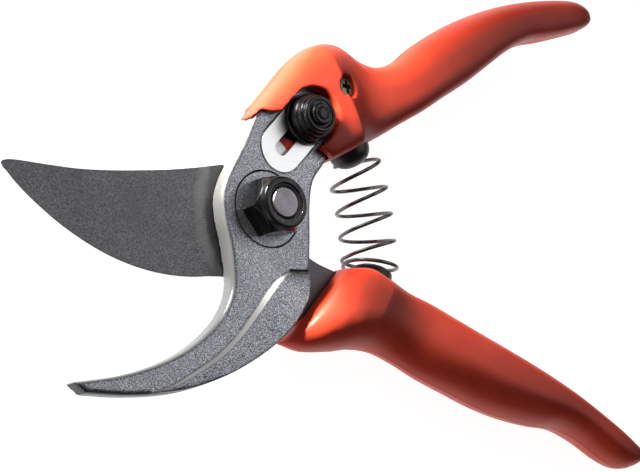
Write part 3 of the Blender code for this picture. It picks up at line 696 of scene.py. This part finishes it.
def rib(slope_steps=8):
    """The raised band on the hook's front, with a rounded sloping wall on its inner side."""
    walls, edges = smooth(RIB_WALL), smooth(RIB_EDGE)
    rise = [v.x for v in smooth([(r, 0) for r in RIB_RISE])]
    low, face = HOOK_Z[1] - 1, HOOK_Z[1]
    rings = []
    for wall, edge, up in zip(walls, edges, rise):
        across = (edge - wall).normalized()
        run = min(RIB_SLOPE_W, 0.45 * (edge - wall).length)
        height = RIB_H * up
        slope = []
        for k in range(slope_steps + 1):
            t = k / slope_steps
            at = wall + across * run * t
            slope.append((at.x, at.y, face + height * (0.75 * t + 0.25 * t * t * (3 - 2 * t)) + 0.01))
        rings.append([(wall.x, wall.y, low), (edge.x, edge.y, low),
                      (edge.x, edge.y, face + height - 0.25 * up)] + slope[::-1])
    return stack("rib", rings, CUTTERS)


def screw_hole(name, placed):
    """A clear hole for a grip's screw."""
    at, along, length = placed
    return rod(name, SCREW_R + SCREW_GAP, -length - 1, 3, at, along)


def counter_blade():
    obj = slab("hook_blade", hook_outline(), *HOOK_Z, MADE, round_high=1.25, steps=5)
    combine(obj, rib(), "UNION")
    combine(obj, slab("rib_end_groove", RIB_GROOVE, HOOK_Z[1] - RIB_GROOVE_H, ABOVE))
    combine(obj, rod("counterbore", COUNTERBORE_R, COUNTERBORE_Z, ABOVE))
    combine(obj, rod("hook_bore", BORE_R, 0, ABOVE))
    combine(obj, slab("plate_seat", stadium(slot_point(0), slot_point(KNOB_T), PLATE_R + 0.12),
                      PLATE_SEAT_Z, ABOVE))
    combine(obj, slab("slide_pocket", stadium(slot_point(SLIDE_T[0] - TRAVEL), slot_point(SLIDE_T[1]),
                                              SLIDE_R + GAP), *SLIDE_POCKET_Z))
    combine(obj, slab("pin_slot", stadium(slot_point(PIN_T - TRAVEL), slot_point(PIN_T), LOCK_PIN_R + GAP),
                      *PIN_SLOT_Z))
    combine(obj, screw_hole("tang_hole", UPPER_SCREW))
    moulded(obj, METAL_VOXEL, 4)
    return piece(obj, "hook_side", ["counter_blade"], LOOK["alloy"], angle=None, weighted=False)


def heel():
    """The blade's round heel with its lug, from the spine round to the tang."""
    low, high = LUG_DEG
    ends = [(high + 1.5, HEEL_R), (high, LUG_R), (low, LUG_R), (low - 0.5, HEEL_R)]
    polar = [(d, HEEL_R) for d in range(110, -25, -3) if not low <= d <= high]
    polar += ends + [(d, LUG_R) for d in range(47, 60, 3)]
    polar.sort(reverse=True)
    return [Vector((r * math.cos(math.radians(d)), r * math.sin(math.radians(d)))) for d, r in polar]


def blade_outlines():
    """The blade's outline on its front, and on its back where the bevel has taken the edge away."""
    spine = smooth(BLADE_SPINE)
    plain = spine + heel() + smooth(BLADE_TANG)[:-1]
    edge = smooth(BLADE_EDGE + [BLADE_SPINE[0]])[:-1]
    top = plain + edge
    inner = grown(top, -1)
    back = list(top)
    for k in range(len(edge)):
        i = len(plain) + k
        u = k / (len(edge) - 1)
        width = BEVEL_W * min(1, u * 6.5, (1 - u) * 5 + 0.3)
        back[i] = top[i] + (inner[i] - top[i]).normalized() * width
    retreat = smooth([(1, 0), (0.85, 0), (0.65, 0), (0.35, 0), (0, 0)], FINE // 2)
    for i, part in enumerate(retreat):
        back[i] = top[i] + TIP_CUT * part.x * Vector((1, -0.08))
    return top, back


def hollow():
    """The cutter for the step where the blade gets thinner, its slope in levels of height and shift."""
    line = smooth(HOLLOW_LINE)
    corners = [Vector((-90, -30)), Vector((-90, 20))]
    slope = ((HOLLOW_Z, -3.0), (HOLLOW_Z + 0.05, -1.9), (HOLLOW_Z + 0.2, -0.6), (8.0, 0.9), (8.11, 1.6),
             (9, 1.6))
    rings = [[(p.x + shift, p.y, z) for p in line] + [(p.x, p.y, z) for p in corners] for z, shift in slope]
    return stack("hollow", rings, CUTTERS)


def cutting_blade():
    top, back = blade_outlines()
    low, high = BLADE_Z
    levels = ((low, back), (high - 0.45, top), (high - RIM, top), (high, grown(top, -RIM)))
    obj = stack("blade", [[(p.x, p.y, z) for p in outline] for z, outline in levels], MADE)
    combine(obj, hollow())
    combine(obj, rod("blade_bore", BORE_R, 0, ABOVE))
    combine(obj, screw_hole("blade_hole", LOWER_SCREW))
    return piece(obj, "blade_side", ["cutting_blade"], LOOK["blade"], 24)


def hexagon(flats, first=0.0):
    """A hexagon of a width across flats."""
    return circle((0, 0), flats / 2 / math.cos(math.pi / 6), 6, first)


def pivot_bolt():
    low, high = HEAD_Z
    bolt = slab("bolt", hexagon(HEAD_FLATS), low, high, MADE)
    chamfer = [(0, low - 1), (6.4, low - 1), (6.4, low), (6.9, low + 0.3), (7.7, low + 0.9), (7.7, 6), (0, 6)]
    combine(bolt, turned("head_trim", chamfer), "INTERSECT")
    end = BOLT_END_Z
    shank = [(0, 1), (BOLT_R, 1), (BOLT_R, end - 0.5), (BOLT_R - 0.12, end - 0.22), (BOLT_R - 0.4, end),
             (0, end)]
    combine(bolt, turned("shank", shank), "UNION")
    piece(bolt, "hook_side", ["pivot_bolt"], LOOK["bolt"])


def pivot_nut():
    """The lock nut, its nylon ring and the washer under it."""
    low, high = NUT_Z
    bore = BOLT_R + TIGHT
    nut = slab("nut", hexagon(NUT_FLATS, math.radians(NUT_TURN_DEG)), low, high, MADE)
    crown = [(0, low - 1), (7.5, low - 1), (7.5, low), (8.2, low + 0.5), (8.2, high - 3.5), (7.95, high - 3.2),
             (6.95, high - 1.6), (6.78, high - 1.35), (6.7, high - 1.1), (6.68, high - 0.65),
             (6.5, high - 0.3), (6.2, high - 0.08), (5.75, high), (0, high)]
    combine(nut, turned("crown", crown), "INTERSECT")
    combine(nut, turned("nut_bore", [(0, 0), (bore, 0), (bore, high - 2), (5.1, high - 2), (5.1, high - 0.7),
                                     (4.95, high - 0.45), (5.1, high - 0.15), (5.15, high + 0.3),
                                     (0, high + 0.3)]))
    piece(nut, "hook_side", ["pivot_nut"], LOOK["black"], 30)
    insert = turned("insert", [(bore, high - 1.85), (5.0, high - 1.85), (5.0, high - 0.75), (4.8, high - 0.55),
                               (4.4, high - 0.6), (bore, high - 0.8)], MADE)
    piece(insert, "hook_side", ["nut_insert_ring"], LOOK["rubber"])
    low, high = WASHER_Z
    rim = COUNTERBORE_R - 0.24
    washer = turned("washer", [(bore, low), (rim, low), (rim, high - 0.03), (rim - 0.03, high),
                               (bore, high)], MADE)
    piece(washer, "hook_side", ["pivot_washer_front"], LOOK["washer"])


def catch_guide():
    """The slotted plate let into the hook, and the slide with its lock pin under it."""
    plate = slab("plate", stadium(slot_point(0), slot_point(KNOB_T), PLATE_R), *PLATE_Z, MADE, round_high=0.14)
    combine(plate, slab("plate_slot", stadium(slot_point(0), slot_point(KNOB_T + 0.2), SLOT_R), 10, ABOVE))
    piece(plate, "hook_side", ["catch_plate"], LOOK["bright"])
    first, last = SLIDE_T
    slide = slab("slide", stadium(slot_point(first), slot_point(last), SLIDE_R), *SLIDE_Z, MADE)
    combine(slide, rod("lock_pin", LOCK_PIN_R, 5.4, 10.5, (*slot_point(PIN_T), 0)), "UNION")
    combine(slide, rod("slide_hole", STEM_R + TIGHT, 5, ABOVE, (*slot_point(KNOB_T), 0)))
    piece(slide, "catch", ["catch_slide"], LOOK["slide"])


def thumb_knob():
    """The rivet, the washer and the stepped knob, as turned profiles of radius and height."""
    at = (*slot_point(KNOB_T), 0)
    foot = SLIDE_Z[0]
    stem = turned("rivet", [(0, foot), (STEM_R, foot), (STEM_R, 19.6), (2.9, 19.6), (3.0, 19.75), (2.95, 19.95),
                            (2.7, 20.15), (2.3, 20.28), (2.05, 20.3), (1.9, 20.22), (1.75, 20.26),
                            (1.5, 20.42), (1.1, 20.53), (0.6, 20.59), (0, 20.6)], MADE, at)
    piece(stem, "catch", ["catch_stem"], LOOK["black"])
    hole = STEM_R + TIGHT
    low, high = KNOB_BASE_Z
    base = turned("knob_base", [(hole, low), (6.55, low), (6.7, low + 0.15), (6.7, high - 0.15), (6.55, high),
                                (hole, high)], MADE, at)
    piece(base, "catch", ["catch_base_washer"], LOOK["black"])
    body = [(hole, 14.8), (5.2, 14.8), (5.75, 14.87), (6.15, 15.05), (6.28, 15.35), (6.26, 15.75),
            (6.08, 16.25), (5.82, 16.72), (5.66, 16.95), (5.52, 17.05), (5.44, 17.12), (5.44, 17.24),
            (5.60, 17.34), (5.60, 17.55), (5.45, 17.95), (5.25, 18.28), (5.08, 18.46), (4.9, 18.54),
            (4.84, 18.64), (4.86, 18.9), (4.78, 19.2), (4.6, 19.44), (4.35, 19.55), (4.0, 19.56),
            (3.75, 19.5), (3.6, 19.38), (3.3, 19.36), (hole, 19.36)]
    piece(turned("knob", body, MADE, at), "catch", ["catch_knob"], LOOK["black"])


def section(station, powers, count):
    """One closed ring of a grip, with a fine ridge along the mould's parting line.

    The powers shape its outer upper side, its outer lower side and its inner side: 2 is an ellipse, more is
    squarer.
    """
    outer, inner, top, low = Vector(station[:2]), Vector(station[2:4]), station[4], station[5]
    middle, half = (outer + inner) / 2, (outer - inner) / 2
    z_mid, z_half = (top + low) / 2, (top - low) / 2
    angles = [math.radians(d) for d in PARTING_DEG[2:]]
    first, last = angles[-1], math.pi - angles[-1]
    arc = [first + (last - first) * k / count for k in range(1, count)]
    angles += arc + [math.pi - math.radians(d) for d in reversed(PARTING_DEG)]
    angles += [-a for a in reversed(arc)] + [math.radians(d) for d in PARTING_DEG[:2]]
    ring = []
    for a in angles:
        power = powers[2] if math.cos(a) < 0 else powers[0] if math.sin(a) > 0 else powers[1]
        u = math.copysign(abs(math.cos(a)) ** (2 / power), math.cos(a))
        v = math.copysign(abs(math.sin(a)) ** (2 / power), math.sin(a))
        if abs(math.sin(a)) < 1e-6:
            u *= 1 + PARTING_H / half.length
        ring.append((*(middle + half * u), z_mid + z_half * v))
    return ring


def grip(name, stations, crown, square, rim, crest, count=34):
    """A grip lofted through its stations, with a crest across one of them.

    It is squarer over its first five stations, by square on its crown and by rim on its inner side.
    """
    wide = smooth([(*o, *i, low, 0) for o, i, top, low in stations])
    tops = [(top, 0) for _, _, top, _ in stations]
    tops = smooth(tops[:crest + 1])[:-1] + smooth(tops[crest:])
    rings = []
    for index, (line, top) in enumerate(zip(wide, tops)):
        block = max(0.0, 1 - index / FINE / BLOCK_STATIONS)
        powers = (crown + square * block, 2.3 + 0.3 * block, 3.6 + rim * block)
        rings.append(section((*line[:4], top.x, line[4]), powers, count))
    return stack(name, rings, MADE)


def buffer(name, node, where_on, grip_obj, body):
    """A rubber dome with a moulded rim, and its seat in the grip."""
    (x, y), (ax, ay), tall = where_on
    at, along = (x, y, GRIP_MID_Z), (ax, ay, 0)
    profile = [(0, -3), (2.2, -3), (2.2, -1.6), (BUFFER_R, -1.6), (BUFFER_R, 0.1)]
    profile += [(BUFFER_R * math.cos(a) ** 0.9, 0.1 + (tall - 0.1) * math.sin(a))
                for a in (math.radians(d) for d in range(6, 90, 6))]
    dome = turned(name, profile + [(0, tall)], MADE, at, along)
    piece(dome, body, [node], LOOK["rubber"])
    seat = [(0, -3.3), (2.4, -3.3), (2.4, -1.9), (BUFFER_R + 0.2, -1.9), (BUFFER_R + 0.2, 8), (0, 8)]
    combine(grip_obj, turned(name + "_seat", seat, None, at, along))


def screw(name, node, placed, grip_obj, body):
    """A cross-recess screw with a rounded head, and its seat in the grip."""
    at, along, length = placed
    r = SCREW_HEAD_R
    head = turned(name, [(0, -length), (SCREW_R * 0.5, -length), (SCREW_R, -length + 1.5), (SCREW_R, -1.6),
                         (r - 0.1, -1.45), (r, -1.3), (r, -0.75), (r - 0.12, -0.5), (r - 0.45, -0.28),
                         (r - 1.0, -0.12), (r - 1.8, -0.03), (0, 0)], MADE, at, along)
    turn = Vector((0, 0, 1)).rotation_difference(Vector(along)).to_matrix().to_4x4()
    for across in (0, 1):
        rings = []
        for z, long, wide in ((-CROSS_DEPTH, 0.9, 0.3), (-0.6, 1.75, 0.52), (0.4, 2.2, 0.66)):
            corners = ((long, wide), (-long, wide), (-long, -wide), (long, -wide))
            rings.append([((x, y, z) if across else (-y, x, z)) for x, y in corners])
        slot = stack(f"{name}_cross{across}", rings, CUTTERS)
        slot.data.transform(Matrix.Translation(Vector(at) * MM) @ turn)
        combine(head, slot)
    piece(head, body, [node], LOOK["screw"])
    paint_shade_in_cross(head, Vector(at), Vector(along))
    bore = SCREW_R + RIM
    seat = [(0, -length - 0.4), (bore, -length - 0.4), (bore, -1.9), (r + 0.25, -1.9), (r + 0.25, 5), (0, 5)]
    combine(grip_obj, turned(name + "_seat", seat, None, at, along))


def paint_shade_in_cross(head, at, along):
    """Gives the faces inside a screw's cross a dark material: painted shade in the recess."""
    head.data.materials.append(LOOK["recess"])
    for face in head.data.polygons:
        offset = face.center / MM - at
        level = offset.dot(along)
        if -CROSS_DEPTH - 0.05 < level < -0.14 and (offset - level * along).length < SCREW_HEAD_R - 0.75:
            face.material_index = 1


def upper_handle():
    obj = grip("grip_upper", UPPER_GRIP, 2.3, 3.2, 4.0, 3)
    recess = smooth(CATCH_RECESS) + [Vector(p) for p in RECESS_CORNERS]
    combine(obj, slab("catch_recess", recess, HOOK_Z[1] - 0.4, ABOVE))
    pocket_low = HOOK_Z[0] - POCKET_GAP
    combine(obj, slab("tang_pocket", grown(hook_outline(), POCKET_GAP), pocket_low, POCKET_TOP_Z))
    combine(obj, slab("back_step", BACK_STEP, BELOW, pocket_low))
    screw("screw_upper", "upper_handle_screw", UPPER_SCREW, obj, "hook_side")
    buffer("bumper_upper", "upper_bumper", UPPER_BUFFER, obj, "hook_side")
    moulded(obj)
    piece(obj, "hook_side", ["upper_handle"], LOOK["grip"], angle=None, weighted=False)


def lower_handle():
    obj = grip("grip_lower", LOWER_GRIP, 1.95, 0.4, 0.6, 4)
    tang = grown(blade_outlines()[0], POCKET_GAP)
    combine(obj, slab("blade_pocket", tang, BLADE_Z[0] - POCKET_GAP, BLADE_Z[1] + POCKET_GAP))
    screw("screw_lower", "lower_handle_screw", LOWER_SCREW, obj, "blade_side")
    buffer("bumper_lower", "lower_bumper", LOWER_BUFFER, obj, "blade_side")
    moulded(obj)
    piece(obj, "blade_side", ["lower_handle"], LOOK["grip"], angle=None, weighted=False)


def coil_line(per_turn):
    """The middle of the spring's wire, turn by turn round an axis that bends and tilts between the grips."""
    axis = [Vector(p) for p in SPRING_AXIS]
    first, last = axis[0][0], axis[-1][0]
    count = int((last - first) * per_turn) + 1
    line = []
    for k in range(count):
        turns = first + (last - first) * k / (count - 1)
        i = max(j for j in range(len(axis) - 1) if axis[j][0] <= turns + 1e-9)
        u = (turns - axis[i][0]) / (axis[i + 1][0] - axis[i][0])
        _, x, y, tilt = axis[i].lerp(axis[i + 1], u)
        phase, tilt = 2 * math.pi * turns, math.radians(tilt)
        line.append(Vector((x + COIL_R * math.cos(phase) * math.cos(tilt),
                            y + COIL_R * math.cos(phase) * math.sin(tilt),
                            GRIP_MID_Z + COIL_R * math.sin(phase))))
    return line


def handle_spring(per_turn=56, around=14):
    """A round wire swept along the coil between the two grips."""
    line = coil_line(per_turn)
    rings, side = [], Vector((0, 0, 1))
    for before, here, after in zip(line[:1] + line[:-1], line, line[1:] + line[-1:]):
        run = (after - before).normalized()
        side = (side - run * side.dot(run)).normalized()
        other = run.cross(side)
        rings.append([here + WIRE_R * (side * math.cos(a) + other * math.sin(a))
                      for a in (2 * math.pi * k / around for k in range(around))])
    obj = stack("coil_spring", rings, MADE)
    piece(obj, None, ["handle_spring"], LOOK["wire"], 60, weighted=False)
    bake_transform(obj)


def kept_nodes():
    """The solids that stay as they are, inside the pivot and the catch."""
    for name, look in (("pivot_thrust_washer", "bronze"), ("pivot_bushing", "bronze"),
                       ("catch_spring_washer", "bolt")):
        for slot in frame["nodes"][name].material_slots:
            slot.material = LOOK[look]


# ---------------------------------------------------------------- stage

# In metres. Each light: name, place, aim, size, power in watts, colour and spread in degrees. The powers
# started from a scratch script's fit to the photo's colours and were then set by hand.
WORLD_COLOUR = (0.93, 0.96, 1.0)
WORLD_STRENGTH = 0.06
LIGHTS = [
    ("key", (-0.085, 0.100, 0.038), (0.006, 0.036, 0.014), (0.05, 0.04), 0.068, (1.0, 0.96, 0.88), 38),
    ("far_key", (-0.50, 0.60, 0.10), (0.02, 0.0, 0.01), (0.30, 0.30), 6.2, (1.0, 0.98, 0.95), 180),
    ("grip_spot", (-0.055, 0.080, 0.060), (0.014, -0.028, 0.014), (0.012, 0.012), 0.005, (1.0, 0.95, 0.86), 12),
    ("front_reflector", (0.39, 0.12, 0.48), (0.0, 0.0, 0.01), (0.52, 0.50), 1.0, (0.97, 0.98, 1.0), 180),
    ("top_strip", (-0.19, 0.37, 0.45), (0.0, 0.0, 0.01), (0.25, 0.30), 0.6, (1.0, 1.0, 1.0), 180),
]
GLOSS_ONLY = ("front_reflector",)
MATT_ONLY = ("key",)
FLOOR_R = 1.6
FLOOR_DROP = 0.0004
FLOOR_GLOW = 0.96
CAMERA_AT = (-0.3585, -0.1197, 0.4791)
CAMERA_RIGHT = (0.7874, -0.0967, 0.6088)
CAMERA_UP = (-0.0394, 0.9777, 0.2062)
CAMERA_BACK = (-0.6152, -0.1863, 0.766)
LENS_MM, SENSOR_MM, NEAREST = 135, 36, 0.01


def floor():
    mesh = bpy.data.meshes.new("floor")
    points = [(p.x, p.y, 0) for p in circle((0, 0), FLOOR_R, 64)]
    mesh.from_pydata(points, [], [list(range(len(points)))])
    obj = bpy.data.objects.new("floor", mesh)
    bpy.context.scene.collection.objects.link(obj)
    obj.location.z = -FLOOR_DROP
    obj.data.materials.append(pale_floor())


def lights():
    """A faint world light and five lamps, some of them only for gloss or only for matt surfaces."""
    world = bpy.data.worlds.new("studio")
    world.use_nodes = True
    background = world.node_tree.nodes["Background"]
    background.inputs["Color"].default_value = (*WORLD_COLOUR, 1)
    background.inputs["Strength"].default_value = WORLD_STRENGTH
    bpy.context.scene.world = world
    for name, at, aim, size, power, colour, spread in LIGHTS:
        data = bpy.data.lights.new(name, "AREA")
        data.shape, data.size, data.size_y = "RECTANGLE", size[0], size[1]
        data.energy, data.color, data.spread = power, colour, math.radians(spread)
        lamp = bpy.data.objects.new(name, data)
        lamp.location = at
        lamp.rotation_euler = (Vector(aim) - Vector(at)).to_track_quat("-Z", "Y").to_euler()
        lamp.visible_camera = False
        lamp.visible_diffuse = name not in GLOSS_ONLY
        lamp.visible_glossy = name not in MATT_ONLY
        bpy.context.scene.collection.objects.link(lamp)


def camera():
    data = bpy.data.cameras.new("camera")
    data.lens, data.sensor_width, data.clip_start = LENS_MM, SENSOR_MM, NEAREST
    obj = bpy.data.objects.new("camera", data)
    facing = Matrix((CAMERA_RIGHT, CAMERA_UP, CAMERA_BACK)).transposed().to_4x4()
    obj.matrix_world = Matrix.Translation(CAMERA_AT) @ facing
    bpy.context.scene.collection.objects.link(obj)
    bpy.context.scene.camera = obj


camera()
floor()
lights()
counter_blade()
cutting_blade()
pivot_bolt()
pivot_nut()
catch_guide()
thumb_knob()
upper_handle()
lower_handle()
handle_spring()
kept_nodes()
for cutter in list(CUTTERS.objects):
    bpy.data.objects.remove(cutter)
bpy.context.scene.view_settings.view_transform = "Standard"
